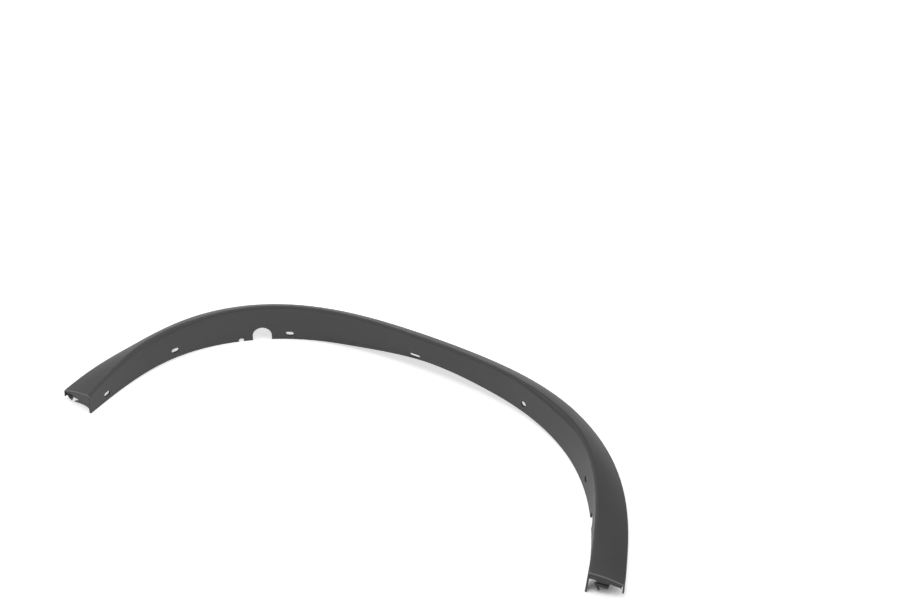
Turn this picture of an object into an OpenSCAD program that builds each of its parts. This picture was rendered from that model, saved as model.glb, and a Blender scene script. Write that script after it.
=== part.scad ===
/* [Arch plan] */
// Mean radius of the ridge round the wheel opening
arch_r = 395.9; // [385:0.1:405]
// How much the crown of the arch is flattened and the shoulders are pushed out
squareness = 27.6; // [22:0.1:32]
// Lean of the plan outline towards the front shoulder
shoulder_lean = 5.6; // [4:0.1:7]
// Angle from the crown to the front end
front_angle = 79.7; // [79:0.1:80]
// Angle from the crown to the rear end
rear_angle = 79.8; // [79:0.1:80]

/* [Section] */
// Moulded wall thickness
wall = 2.6; // [2.2:0.1:3]
// Width of the visible face, measured along its surface
face_w = 51; // [48:0.5:54]
// Crown of the face between the ridge and the outer edge
face_crown = 1.4; // [0.8:0.1:2]
// Height of the ridge above the floor at the crown
ridge_h = 60.4; // [59:0.5:63]
// Radius of the ridge
ridge_r = 3.4; // [3.2:0.1:5]
// Extra radius of the ridge at the two shoulders
shoulder_r = 3.2; // [0:0.2:5]
// Depth of the turned-down lip on the outer edge
lip_h = 5; // [4:0.5:6]
// Radius between the face and the lip
lip_r = 3.4; // [3.1:0.1:4]
// Inward lean of the flange, as a share of its depth
flange_draft = 0.06; // [0.04:0.01:0.08]
// How far the ridge stands out over the flange at the front shoulder
front_out = 7; // [3:0.5:8]
// How far the ridge stands out over the flange at the rear shoulder
rear_out = 6.5; // [3:0.5:8]

/* [Flange cut-outs] */
// Width of the round-topped cut-out at the front shoulder
notch_w = 28; // [24:1:30]
// Height of that cut-out
notch_h = 22; // [19:0.5:24]
// Width of the cut-out near the rear end
rear_notch_w = 22; // [18:1:24]
// Height of that cut-out
rear_notch_h = 17; // [14:0.5:19]
// Length of a fixing slot
slot_l = 12; // [10:0.5:13]
// Height of a fixing slot
slot_h = 7; // [6:0.5:8]
// Diameter of the two round fixing holes
hole_d = 9; // [7:0.5:10]

/* [Ribs] */
// Thickness of a rib behind the flange
rib_t = 1.8; // [1.5:0.1:2.2]
// Reach of a rib out from the flange
rib_d = 24; // [18:1:28]

/* [Clip seats] */
// Width of a clip seat along the arch
seat_l = 24; // [22:1:26]
// Width of a clip seat across the face
seat_w = 20; // [18:1:22]
// Depth of a clip seat below the face
seat_h = 11; // [9:0.5:12]
// Diameter of the clip hole in a seat
seat_hole_d = 8; // [7:0.5:9]

/* [Ends] */
// Thickness of the end walls
end_t = 2.4; // [2.2:0.1:2.8]
// Distance of the end walls in from the ends of the face
end_set = 1.8; // [1.5:0.1:2.2]
// Outward lean of the rear end, in degrees
rear_lean = 14; // [10:0.5:18]
// Outward lean of the front end, in degrees
front_lean = 3; // [0:0.5:5]
// Depth of the outer corner leg at the rear end
leg_h = 12.5; // [11:0.5:15]
// Slope of the tab that carries the rear clip, in degrees
tab_tilt = 8; // [6:0.5:10]

/* [Hidden] */
$fn = 48;
arch_cx = -0.7;
arch_cy = -0.5923 * arch_r;
face_k = face_w / 51;                    // share of the width that the end details were measured on
rise_k = ridge_h / 60.4;                   // and of the height
steps = 76;
edge_r = 1.9;                            // rounding of the shell's two ends
edge_d = [0, 0.2, 0.6, 1.15, 1.9];       // where the loops of that rounding stand
edge_z = [0, 3.3, 0, 4.9, 17.6, 11.2, 4.2, 0.4, 0];
edge_step = 155 / 8;
grey = [0.30, 0.30, 0.31];
black = [0.05, 0.05, 0.055];

// How far the ridge leans out at the two shoulders
function out_a(t) = front_out * exp(-pow((t + 62) / 9, 2));
function out_b(t) = rear_out * exp(-pow((t - 45) / (t < 45 ? 9 : 17), 2));
function bulge(t) = out_a(t) + out_b(t);
// Plan radius of the ridge at angle t from the crown
function rr(t) = arch_r * (1 + 0.0442 * cos(3 * t) - 0.0091 * sin(3 * t) - 0.049 * cos(4 * t)
    + 0.0051 * sin(4 * t)) - squareness * cos(2 * t) - shoulder_lean * sin(2 * t) + bulge(t);
// Height of the ridge
function zr(t) = ridge_h * (0.2361 + 0.9459 * cos(t) - 0.018 * sin(t) - 0.041 * cos(2 * t)
    + 0.0115 * sin(2 * t) - 0.1393 * cos(3 * t));
// Slope of the face
function fs(t) = -15.7 + 73.2 * cos(t) - 3.4 * sin(t) - 18.4 * cos(2 * t) + 2 * sin(2 * t)
    + 1.5 * out_a(t) + 1.1 * out_b(t);
// Width of the face, a little more at the two ends
function fw(t) = face_w + 2.2 * exp(-pow((t + front_angle) / 8, 2)) + 1.5 * exp(-pow((t - rear_angle) / 4, 2));
// Lean of the flange at angle t
function draft(t) = flange_draft + bulge(t) / zr(t);
// Radius of the ridge, softer at the two shoulders
function rf(t) = ridge_r + shoulder_r * (exp(-pow((t - 37) / 10, 2)) + exp(-pow((t + 62) / 10, 2)));
// Depth of the lip on the outer edge, deeper at the two corners
function lip(t) = lip_h + 5.4 * exp(-pow((t + front_angle) / 3, 2))
    + (leg_h - lip_h) * exp(-pow((t - rear_angle) / 1.6, 4));
// Joggle of the strip along the lower edge, in front of the crown
function joggle(t) = 0.8 * exp(-pow((t + 13) / 12, 4));
// Lean of the end plane at angle t: none away from the ends
function end_lean(t) = tan(rear_lean) * exp(-pow((t - rear_angle) / 3.5, 2))
    - tan(front_lean) * exp(-pow((t + front_angle) / 3.5, 2));
// Turn of the flange's normal away from the plan radius
function turn(t) = atan((rr(t + 0.5) - rr(t - 0.5)) * 180 / PI / rr(t));
// Height of the lower edge of the flange, a smooth curve through the edge heights
function cr(p0, p1, p2, p3, u) = p1 + 0.5 * u * ((p2 - p0) + u * ((2 * p0 - 5 * p1 + 4 * p2 - p3)
    + u * (3 * (p1 - p2) + p3 - p0)));
function kz(i) = rise_k * edge_z[max(0, min(8, i))];
function zb(t) = let (s = max(0, min(7.9999, (t + 77.5) / edge_step)), i = floor(s), u = s - i)
    max(0, cr(kz(i - 1), kz(i), kz(i + 1), kz(i + 2), u));

// Closed section at angle t as [plan radius, height], its outer skin sunk by dip
function unit(a) = [cos(a), sin(a)];
function section(t, dip = 0) = let (
    r = rr(t), z = zr(t), b = fs(t), lean = atan(draft(t)),
    n1 = unit(180 - lean), n2 = unit(90 - b), rad = rf(t),
    det = n1[0] * n2[1] - n1[1] * n2[0],
    top = [r, z],
    d1 = n1 * top - rad, d2 = n2 * top - rad,
    c = [(d1 * n2[1] - d2 * n1[1]) / det, (n1[0] * d2 - n2[0] * d1) / det],
    out = top + fw(t) * [cos(b), -sin(b)],
    e1 = n2 * out - lip_r, c2 = [out[0] - lip_r, (e1 - n2[0] * (out[0] - lip_r)) / n2[1]],
    a1 = 180 - lean, a2 = 90 - b,
    foot = [r - draft(t) * (z - zb(t)), zb(t)],
    f0 = c + rad * n2, f1 = c2 + lip_r * n2, j = joggle(t),
    skin = concat(
        [[foot - [j, 0], [-1, 0]], [foot + [draft(t) * 4 - j, 4], n1],
            [foot + [draft(t) * 5.2, 5.2], n1], [0.5 * foot + 0.5 * (c + rad * n1), n1]],
        [for (i = [0:7]) let (a = a1 + (a2 - a1) * i / 7) [c + rad * unit(a), unit(a)]],
        [for (i = [1:3]) [f0 + (f1 - f0) * i / 4 + face_crown * sin(180 * i / 4) * n2, n2]],
        [for (i = [0:4]) let (a = a2 * (1 - i / 4)) [c2 + lip_r * unit(a), unit(a)]],
        [[[out[0], out[1] - lip(t)], [1, 0]]]))
    concat([for (p = skin) p[0] - dip * p[1]],
        [for (i = [len(skin) - 1:-1:0]) skin[i][0] - wall * skin[i][1]]);

// A section point set in space, moved along the arch by the lean of the end plane
function at(p, t) = let (s = end_lean(t) * (zr(t) - (p[0] - rr(t)) * tan(fs(t)) - p[1]))
    [p[0] * sin(t) + s * cos(t) + arch_cx, p[0] * cos(t) - s * sin(t) + arch_cy, p[1]];

module arch_shell() {
    t0 = -front_angle;
    t1 = rear_angle;
    d = 180 / PI / 400;                  // degrees of arch in a millimetre at the ends
    n = len(edge_d) - 1;
    sink = [for (x = edge_d) edge_r - sqrt(edge_r * edge_r - pow(edge_r - x, 2))];
    a0 = t0 + edge_r * d;
    a1 = t1 - edge_r * d;
    stops = concat([for (i = [0:n - 1]) [t0 + edge_d[i] * d, sink[i]]],
        [for (k = [0:steps]) [a0 + (a1 - a0) * k / steps, 0]],
        [for (i = [n - 1:-1:0]) [t1 - edge_d[i] * d, sink[i]]]);
    loops = [for (q = stops) [for (p = section(q[0], q[1])) at(p, q[0])]];
    m = len(loops[0]);
    last = (len(loops) - 1) * m;
    pts = [for (l = loops) each l];
    sides = [for (k = [0:len(loops) - 2], i = [0:m - 1]) let (
        a = k * m + i, b = k * m + (i + 1) % m, c = (k + 1) * m + (i + 1) % m, e = (k + 1) * m + i)
        each [[a, b, c], [a, c, e]]];
    caps = [for (i = [0:m / 2 - 2]) let (a = i, b = i + 1, c = m - 2 - i, e = m - 1 - i)
        each [[a, e, c], [a, c, b], [last + a, last + b, last + c], [last + a, last + c, last + e]]];
    polyhedron(points = pts, faces = concat(sides, caps), convexity = 12);
}

// Sets children at angle t, plan radius r and height z, with +Y pointing outwards
module set_at(t, r, z) {
    translate([arch_cx, arch_cy, 0])
        rotate([0, 0, -t])
            translate([0, r, z])
                children();
}

// Sets children on the flange, with +Z along its normal and away from the wheel
module on_flange(t, z) {
    set_at(t, rr(t), z)
        rotate([0, 0, turn(t)])
            rotate([-90, 0, 0])
                children();
}

// A cutter through the flange with its axis across the wall
module bore(t, z, d) {
    on_flange(t, z) cylinder(h = 24, d = d, center = true);
}

module slot(t, z, l, h) {
    on_flange(t, z)
        union() {
            translate([-(l - h) / 2, 0, 0]) cylinder(h = 24, d = h, center = true);
            translate([(l - h) / 2, 0, 0]) cylinder(h = 24, d = h, center = true);
            cube([l - h, h, 24], center = true);
        }
}

// A round-topped cut-out open at the lower edge
module notch(t, w, h) {
    on_flange(t, h - w / 2)
        union() {
            cylinder(h = 24, d = w, center = true);
            translate([-w / 2, 0, -12]) cube([w, h, 24]);
        }
}

// Sets children in an end plane: +X points off the end, +Y out along the face, +Z up the plane
module end_frame(t, lean) {
    set_at(t, rr(t), zr(t))
        rotate([-fs(t), 0, 0])
            rotate([0, -lean, 0])
                children();
}

// Height h above the floor as a height in the end plane, at distance y from the ridge
function in_plane(t, lean, y, h) = (rise_k * h + y * sin(fs(t)) - zr(t)) / cos(fs(t)) / cos(lean);

// A wall across an end. Its lower outline is given as [distance from the ridge, height above the floor]
module end_wall(t, lean, low) {
    lower = [for (p = low) [face_k * p[0], in_plane(t, lean, face_k * p[0], p[1])]];
    upper = [[49, -1.6], [39, -0.8], [26, -0.3], [14, -0.7], [6, -1.6], [3, -5]];
    end_frame(t, lean)
        translate([t > 0 ? -end_set - end_t : end_set, 0, 0])
            rotate([90, 0, 90])
                linear_extrude(end_t)
                    polygon(concat(lower, [for (p = upper) [face_k * p[0], p[1]]]));
}

// A rib across the corner between the flange and the face, following the shell's own section
module rib(t) {
    skin = section(t, wall / 2);
    z = zr(t);
    set_at(t, 0, 0)
        rotate([90, 0, 90])
            translate([0, 0, -rib_t / 2])
                linear_extrude(rib_t)
                    polygon(concat([for (i = [3:12]) skin[i]],
                        [[rr(t) + rib_d, z - rib_d * tan(fs(t)) - 1.2], [rr(t) + rib_d, z - rib_d * tan(fs(t)) - 5],
                            [rr(t) + 7, zb(t) + 9 * rise_k],
                            [rr(t) + 0.8 - draft(t) * (z - zb(t) - 6 * rise_k), zb(t) + 6 * rise_k]]));
}

// A point of the face at angle t and distance u from the ridge
function face_at(t, u) = let (p = rr(t) + u * cos(fs(t)))
    [p * sin(t) + arch_cx, p * cos(t) + arch_cy, zr(t) - u * sin(fs(t))];

// Sets children on the face, with +X along the arch, +Y out across the face and +Z off it
module on_face(t, u) {
    o = face_at(t, u);
    x0 = face_at(t + 1, u) - face_at(t - 1, u);
    x = x0 / norm(x0);
    z0 = cross(x, face_at(t, u + 1) - o);
    z = z0 / norm(z0);
    y = cross(z, x);
    multmatrix([[x[0], y[0], z[0], o[0]], [x[1], y[1], z[1], o[1]], [x[2], y[2], z[2], o[2]], [0, 0, 0, 1]])
        children();
}

// A box on the back of the face that takes a fixing clip through its keyhole
module clip_seat(t, u) {
    on_face(t, u)
        difference() {
            translate([-seat_l / 2, -seat_w / 2, -seat_h - wall])
                cube([seat_l, seat_w, seat_h + wall - 0.4]);
            translate([-seat_l / 2 + 1.6, -seat_w / 2 + 1.6, -seat_h - wall + 1.8])
                cube([seat_l - 3.2, seat_w, seat_h - 1.8]);
            translate([0, 0, -seat_h - wall])
                cylinder(h = 8, d = seat_hole_d, center = true);
            translate([-2.5, 0, -seat_h - wall - 2])
                cube([5, seat_w, 5]);
        }
}

// Spring clip under the front end wall: a saddle that straddles its edge, and a tapered peg
module front_clip() {
    t = -front_angle;
    y = 45.2 * face_k;
    color(black)
        end_frame(t, front_lean)
            translate([end_set + end_t / 2, y, in_plane(t, front_lean, y, 8.9)])
                rotate([fs(t), 0, 0])
                    union() {
                        difference() {
                            translate([-end_t / 2 - 1.3, -4, -2.4]) cube([end_t + 2.6, 8, 6.6]);
                            translate([-end_t / 2 - 0.25, -8, -0.4]) cube([end_t + 0.5, 16, 8]);
                            translate([-end_t / 2 - 3, -8, 2]) cube([3, 16, 8]);
                        }
                        translate([0, -0.3, -8.8]) cylinder(h = 6.9, r1 = 1, r2 = 3.9);
                    }
}

// Spring clip on the tab of the rear end wall: a saddle along its edge, and a slanted leg
module rear_clip() {
    t = rear_angle;
    y = 24.4 * face_k;
    color(black)
        end_frame(t, rear_lean)
            translate([-end_set - end_t / 2, y, in_plane(t, rear_lean, y, 14.35)])
                rotate([fs(t) - tab_tilt, 0, 0])
                    union() {
                        difference() {
                            translate([-end_t / 2 - 1.9, -8.3, -3.6]) cube([end_t + 3.8, 16.6, 6.8]);
                            translate([-end_t / 2 - 0.25, -12, -0.35]) cube([end_t + 0.5, 24, 8]);
                            translate([end_t / 2, -12, 0.7]) cube([3, 24, 8]);
                        }
                        translate([-1.3, -11.7, -2.9]) cube([2.6, 5, 2.3]);
                        translate([0, -10.8, -1.4]) rotate([32 + tab_tilt, 0, 0])
                            translate([-1.3, -1.1, -11.4]) cube([2.6, 2.2, 11.6]);
                    }
}

// The one-piece moulded arch
module trim_shell() {
    color(grey)
        difference() {
            union() {
                arch_shell();
                end_wall(-front_angle, front_lean, [[4.6, 18], [8, 2.4], [11.6, 1.2], [18.5, 4.4], [28, 3.8],
                    [42, 0.8], [38.6, 3], [30.6, 6.6], [31, 9.6], [38.6, 9.6], [39.6, 8.9],
                    [49.7, 8.9], [50.4, 6.2], [53.6, 6]]);
                end_wall(rear_angle, rear_lean, [[2.4, 20.6], [5, 20.2], [10.5, 20], [13.7, 18.8],
                    [15.6, 16.2], [16.2, 15.5], [32.6, 13.2], [33.7, 16.6], [39, 15], [47.5, 13.6],
                    [49.6, 11.6]]);
                for (t = [-62, -42, -17, 8, 33, 66]) clip_seat(t, 0.53 * face_w);
                for (t = [-69, -50, -27.5, -9, 14, 25.1, 45.5, 56]) rib(t);
            }
            notch(-37.7, notch_w, notch_h);
            notch(62, rear_notch_w, rear_notch_h);
            slot(-42.1, 2 * rise_k, 8, 7);
            slot(-74.6, 11.2 * rise_k, slot_l, slot_h);
            slot(-56.4, 15.4 * rise_k, slot_l, slot_h);
            slot(-31.9, 10.7 * rise_k, slot_l, slot_h);
            slot(-2.6, 22 * rise_k, 17, 5);
            bore(26.6, 22.9 * rise_k, hole_d);
            bore(52, 18 * rise_k, hole_d);
        }
}

trim_shell();
front_clip();
rear_clip();
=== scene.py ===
import math

import bmesh
import bpy
from mathutils import Euler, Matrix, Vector


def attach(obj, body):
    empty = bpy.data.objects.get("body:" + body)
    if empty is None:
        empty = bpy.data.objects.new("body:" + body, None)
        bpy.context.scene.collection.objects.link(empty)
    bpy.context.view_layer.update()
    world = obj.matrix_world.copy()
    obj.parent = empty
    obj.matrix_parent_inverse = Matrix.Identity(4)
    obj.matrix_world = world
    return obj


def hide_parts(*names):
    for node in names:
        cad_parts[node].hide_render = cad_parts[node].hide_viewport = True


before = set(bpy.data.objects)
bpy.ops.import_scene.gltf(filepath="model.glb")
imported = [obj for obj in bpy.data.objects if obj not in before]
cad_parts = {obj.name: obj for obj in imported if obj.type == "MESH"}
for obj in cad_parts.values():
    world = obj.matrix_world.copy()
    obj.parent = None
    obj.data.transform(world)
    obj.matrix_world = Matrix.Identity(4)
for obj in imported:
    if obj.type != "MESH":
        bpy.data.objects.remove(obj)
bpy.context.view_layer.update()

scene = bpy.context.scene

# ---------- sizes and levels (metres, degrees, watts) ----------
CAMERA_PLACE = (1.38037, -2.57297, 2.76173)
CAMERA_TILT, CAMERA_TURN = 49.0, 26.101
CAMERA_LENS_MM, SENSOR_MM = 109.565, 36.0

ARCH_CENTRE = (-0.0007, -0.2345)     # the arch's own centre on the floor
END_FROM = 78.6                      # degrees from the crown where an end's rounded edge begins
END_ALONG = (0.178, 0.984)           # the way an end wall faces, x (by side) and -y
# painted highlight along the rounded edge at each end of the face: its strength, the normal's turn
# where it peaks, its reach, and its colour
END_HIGHLIGHT, HIGHLIGHT_PEAK, HIGHLIGHT_REACH = 0.8, 0.55, 0.3
PAINTED_HIGHLIGHT_COLOUR = (0.36, 0.36, 0.36, 1.0)

FLOOR_HALF, FLOOR_DROP = 9.0, 0.0002
FLOOR_COLOUR, FLOOR_GLOW = 0.9, 0.62
HOLLOW_PLACE = (0.416, -0.172, 0.0)  # the floor under the rear end, where the painted shade on the floor centres
# size of the painted shade patch on the floor, and the x range over which it fades in
HOLLOW_CORE, HOLLOW_EDGE = 0.022, 0.048
FLANGE_INNER_X, FLANGE_OUTER_X = 0.386, 0.391
WORLD_LEVEL = 0.22


# ---------- camera: the photograph's viewpoint, solved from the trim's own contours ----------
cam = bpy.data.cameras.new("camera")
cam.lens, cam.sensor_width, cam.sensor_fit = CAMERA_LENS_MM, SENSOR_MM, "HORIZONTAL"
cam.clip_end = 50.0
cam_ob = bpy.data.objects.new("camera", cam)
cam_ob.location = CAMERA_PLACE
cam_ob.rotation_euler = Euler((math.radians(CAMERA_TILT), 0.0, math.radians(CAMERA_TURN)), "XYZ")
scene.collection.objects.link(cam_ob)
scene.camera = cam_ob


# ---------- node helpers ----------
def material(name):
    """A new material with an empty node tree, and its nodes and links."""
    mat = bpy.data.materials.new(name)
    mat.use_nodes = True
    mat.node_tree.nodes.clear()
    return mat, mat.node_tree.nodes, mat.node_tree.links


def put(nodes, kind, **props):
    """Adds a node; inputs={socket: value} sets its sockets, any other name one of its properties."""
    n = nodes.new(kind)
    for k, v in props.items():
        if k == "inputs":
            for name, val in v.items():
                n.inputs[name].default_value = val
        else:
            setattr(n, k, v)
    return n


def moulded_plastic(name, dark, light, rough, grain, depth, ior=1.5):
    """Moulded plastic: a fine matt grain, faint flow marks, and a painted highlight: a lighter
    colour on the rounded end edges that the edge attribute marks.
    """
    mat, ns, ln = material(name)
    out = put(ns, "ShaderNodeOutputMaterial")
    bsdf = put(ns, "ShaderNodeBsdfPrincipled", inputs={"IOR": ior})
    co = put(ns, "ShaderNodeTexCoord")
    cells = put(ns, "ShaderNodeTexVoronoi", feature="SMOOTH_F1",
                inputs={"Scale": 1000.0 / grain, "Smoothness": 0.6})
    fine = put(ns, "ShaderNodeTexNoise",
               inputs={"Scale": 1600.0 / grain, "Detail": 3.0, "Roughness": 0.6})
    broad = put(ns, "ShaderNodeTexNoise",
                inputs={"Scale": 9.0, "Detail": 5.0, "Roughness": 0.62, "Distortion": 0.6})
    for n in (cells, fine, broad):
        ln.new(co.outputs["Object"], n.inputs["Vector"])

    # grain
    mix = put(ns, "ShaderNodeMath", operation="MULTIPLY_ADD", inputs={1: 0.7})
    ln.new(fine.outputs["Fac"], mix.inputs[0])
    ln.new(cells.outputs["Distance"], mix.inputs[2])
    bump = put(ns, "ShaderNodeBump", inputs={"Strength": 0.35, "Distance": depth})
    ln.new(mix.outputs[0], bump.inputs["Height"])
    ln.new(bump.outputs["Normal"], bsdf.inputs["Normal"])

    # colour: flow marks, then the painted highlight on the rounded end edges
    ramp = put(ns, "ShaderNodeValToRGB")
    first, last = ramp.color_ramp.elements
    first.position, last.position = 0.32, 0.7
    first.color, last.color = (*dark, 1.0), (*light, 1.0)
    ln.new(broad.outputs["Fac"], ramp.inputs["Fac"])
    highlight_attr = put(ns, "ShaderNodeAttribute", attribute_name="painted_edge_highlight")
    highlight_mix = put(ns, "ShaderNodeMix", data_type="RGBA", inputs={7: PAINTED_HIGHLIGHT_COLOUR})
    ln.new(highlight_attr.outputs["Fac"], highlight_mix.inputs[0])
    ln.new(ramp.outputs["Color"], highlight_mix.inputs[6])
    ln.new(highlight_mix.outputs[2], bsdf.inputs["Base Color"])

    # gloss
    gloss = put(ns, "ShaderNodeMapRange", inputs={
        "From Min": 0.3, "From Max": 0.7, "To Min": rough - 0.04, "To Max": rough + 0.05})
    ln.new(broad.outputs["Fac"], gloss.inputs["Value"])
    ln.new(gloss.outputs["Result"], bsdf.inputs["Roughness"])
    ln.new(bsdf.outputs["BSDF"], out.inputs["Surface"])
    return mat


shell_mat = moulded_plastic(
    "grained_plastic", (0.061, 0.061, 0.062), (0.068, 0.068, 0.069), 0.54, 0.9, 0.00010)
clip_mat = moulded_plastic(
    "clip_plastic", (0.010, 0.010, 0.011), (0.014, 0.014, 0.015), 0.42, 0.7, 0.00008)


# ---------- the pieces: welded copies of the CAD solids, smooth over their soft forms ----------
def mark_end_highlight(bm):
    """Weights the rounded edge between the face and each end wall, for the painted highlight colour.
    """
    bm.normal_update()
    highlight_layer = bm.verts.layers.float.new("painted_edge_highlight")
    for v in bm.verts:
        turn = math.degrees(math.atan2(v.co.x - ARCH_CENTRE[0], v.co.y - ARCH_CENTRE[1]))
        if abs(turn) > END_FROM and v.normal.z > 0.25:
            along = v.normal.x * math.copysign(END_ALONG[0], turn) - v.normal.y * END_ALONG[1]
            v[highlight_layer] = END_HIGHLIGHT * max(0.0, 1.0 - abs(along - HIGHLIGHT_PEAK) / HIGHLIGHT_REACH)


def welded_copy(node, name, angle, mat, highlit_ends=False):
    """Replaces a CAD node by a copy whose edges are smooth below the given angle."""
    ob = bpy.data.objects.new(name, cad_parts[node].data.copy())
    scene.collection.objects.link(ob)
    bm = bmesh.new()
    bm.from_mesh(ob.data)
    bmesh.ops.remove_doubles(bm, verts=bm.verts, dist=1e-6)
    for e in bm.edges:
        e.smooth = len(e.link_faces) == 2 and e.calc_face_angle(0.0) < math.radians(angle)
    for fc in bm.faces:
        fc.smooth = True
    if highlit_ends:
        mark_end_highlight(bm)
    bm.to_mesh(ob.data)
    bm.free()
    ob.data.materials.clear()
    ob.data.materials.append(mat)
    even = ob.modifiers.new("even_normals", "WEIGHTED_NORMAL")
    even.mode, even.keep_sharp, even.weight = "FACE_AREA", True, 50
    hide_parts(node)
    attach(ob, "root")


# the shell's rounded end edges get the painted highlight
welded_copy("trim_shell", "shell_skin", 32.0, shell_mat, highlit_ends=True)
welded_copy("front_clip", "front_clip_skin", 40.0, clip_mat)
welded_copy("rear_clip", "rear_clip_skin", 40.0, clip_mat)


# ---------- floor: white, with painted shade in the hollow under the rear end; its own glow is seen only directly and in reflections ---
def product(nodes, links, a, b):
    """The output of a node that multiplies two outputs."""
    n = put(nodes, "ShaderNodeMath", operation="MULTIPLY")
    links.new(a, n.inputs[0])
    links.new(b, n.inputs[1])
    return n.outputs[0]


floor_mat, ns, ln = material("white_floor")
out = put(ns, "ShaderNodeOutputMaterial")
diff = put(ns, "ShaderNodeBsdfDiffuse", inputs={"Color": (FLOOR_COLOUR,) * 3 + (1.0,)})
glow = put(ns, "ShaderNodeEmission", inputs={"Color": (1.0, 1.0, 1.0, 1.0)})

# painted shade: the glow fades in the hollow under the rear end, where little of the studio reaches
# the floor
geo = put(ns, "ShaderNodeNewGeometry")
ao = put(ns, "ShaderNodeAmbientOcclusion", samples=8, inputs={"Distance": 0.035})
spot = put(ns, "ShaderNodeVectorMath", operation="DISTANCE", inputs={1: HOLLOW_PLACE})
ln.new(geo.outputs["Position"], spot.inputs[0])
near = put(ns, "ShaderNodeMapRange", interpolation_type="SMOOTHSTEP", inputs={
    "From Min": HOLLOW_CORE, "From Max": HOLLOW_EDGE, "To Min": 1.0, "To Max": 0.0})
ln.new(spot.outputs["Value"], near.inputs["Value"])
shade = put(ns, "ShaderNodeMapRange", inputs={
    "From Min": 0.35, "From Max": 0.95, "To Min": 1.0, "To Max": 0.0})
ln.new(ao.outputs["AO"], shade.inputs["Value"])
place = put(ns, "ShaderNodeSeparateXYZ")
ln.new(geo.outputs["Position"], place.inputs[0])
inside = put(ns, "ShaderNodeMapRange", interpolation_type="SMOOTHSTEP", inputs={
    "From Min": FLANGE_INNER_X, "From Max": FLANGE_OUTER_X})
ln.new(place.outputs["X"], inside.inputs["Value"])
fade = product(ns, ln, near.outputs["Result"], shade.outputs["Result"])
painted_shade = product(ns, ln, fade, inside.outputs["Result"])
left_over = put(ns, "ShaderNodeMapRange", inputs={"To Min": FLOOR_GLOW, "To Max": 0.0})
ln.new(painted_shade, left_over.inputs["Value"])
ln.new(left_over.outputs["Result"], glow.inputs["Strength"])

path = put(ns, "ShaderNodeLightPath")
both = put(ns, "ShaderNodeAddShader")
ln.new(diff.outputs[0], both.inputs[0])
ln.new(glow.outputs[0], both.inputs[1])
seen = put(ns, "ShaderNodeMath", operation="MAXIMUM")
ln.new(path.outputs["Is Camera Ray"], seen.inputs[0])
ln.new(path.outputs["Is Glossy Ray"], seen.inputs[1])
pick = put(ns, "ShaderNodeMixShader")
ln.new(seen.outputs[0], pick.inputs["Fac"])
ln.new(diff.outputs[0], pick.inputs[1])
ln.new(both.outputs[0], pick.inputs[2])
ln.new(pick.outputs[0], out.inputs["Surface"])

floor_mesh = bpy.data.meshes.new("floor")
floor_mesh.from_pydata(
    [(x * FLOOR_HALF, y * FLOOR_HALF, 0) for x, y in ((-1, -1), (1, -1), (1, 1), (-1, 1))],
    [], [(0, 1, 2, 3)])
floor_mesh.materials.append(floor_mat)
floor = bpy.data.objects.new("floor", floor_mesh)
floor.location = (0, 0, -FLOOR_DROP)
scene.collection.objects.link(floor)


# ---------- world and lamps ----------
world = bpy.data.worlds.new("studio")
world.use_nodes = True
sky = world.node_tree.nodes["Background"]
sky.inputs["Color"].default_value = (1.0, 1.0, 1.0, 1.0)
sky.inputs["Strength"].default_value = WORLD_LEVEL
scene.world = world


def softbox(name, place, size, power):
    """A square soft light that points at the middle of the trim."""
    lamp = bpy.data.lights.new(name, "AREA")
    lamp.shape, lamp.size, lamp.energy = "SQUARE", size, power
    ob = bpy.data.objects.new(name, lamp)
    ob.location = place
    ob.rotation_euler = (-Vector(place)).to_track_quat("-Z", "Y").to_euler()
    scene.collection.objects.link(ob)


softbox("softbox_top", (-0.5, 0.2, 3.6), 2.6, 50.0)
softbox("softbox_front", (-0.6, -3.7, 1.1), 1.6, 10.0)
softbox("softbox_right", (3.3, 0.4, 1.6), 1.6, 34.0)
softbox("softbox_left", (-3.3, 0.7, 1.5), 1.6, 24.0)
softbox("softbox_front_left", (-2.1, -2.7, 2.7), 1.9, 4.0)

scene.view_settings.view_transform = "Standard"
